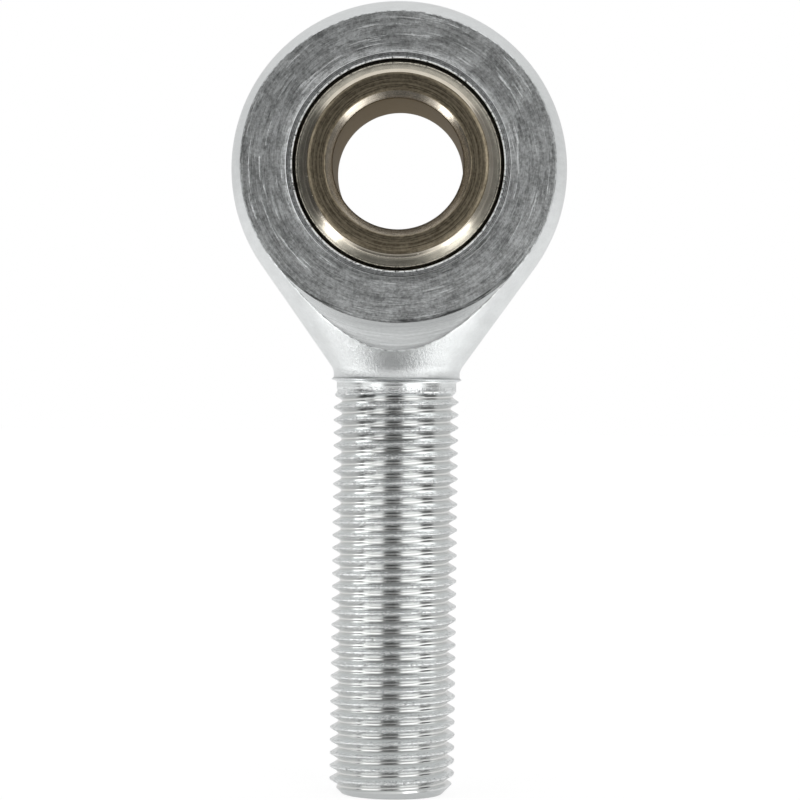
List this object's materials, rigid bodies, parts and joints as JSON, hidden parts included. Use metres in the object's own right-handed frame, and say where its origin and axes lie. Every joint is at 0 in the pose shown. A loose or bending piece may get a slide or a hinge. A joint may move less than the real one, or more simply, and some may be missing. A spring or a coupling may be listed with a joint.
{
  "type": "rod end bearing",
  "caption": "Male rod end: a threaded shank with a flat-sided eye that holds a bored ball, which turns and tilts in a lined race to join a rod to a bolt.",
  "frame": {"origin": "centre of the shank's end face", "axes": "+Z along the shank towards the eye, +Y along the bore of the ball, +X across the eye"},
  "size_m": [0.0332, 0.0158, 0.0786],
  "materials": {
    "body": "zinc plated, machined flats",
    "race": "bright turned edge",
    "liner": "dark woven sliding layer",
    "ball": "polished band, turned faces, warm tint"
  },
  "bodies": {
    "rod_end": {"rod_end_body": "body", "race": "race"},
    "liner": {"liner": "liner"},
    "ball": {"ball": "ball"}
  },
  "joints": [
    {"name": "ball_turn", "type": "hinge", "parent": "rod_end", "child": "liner", "pos_m": [0, 0, 0.0619], "axis": [0, 1, 0], "continuous": true},
    {"name": "ball_tilt", "type": "hinge", "parent": "liner", "child": "ball", "pos_m": [0, 0, 0.0619], "axis": [1, 0, 0], "range_deg": [-12, 12]}
  ]
}
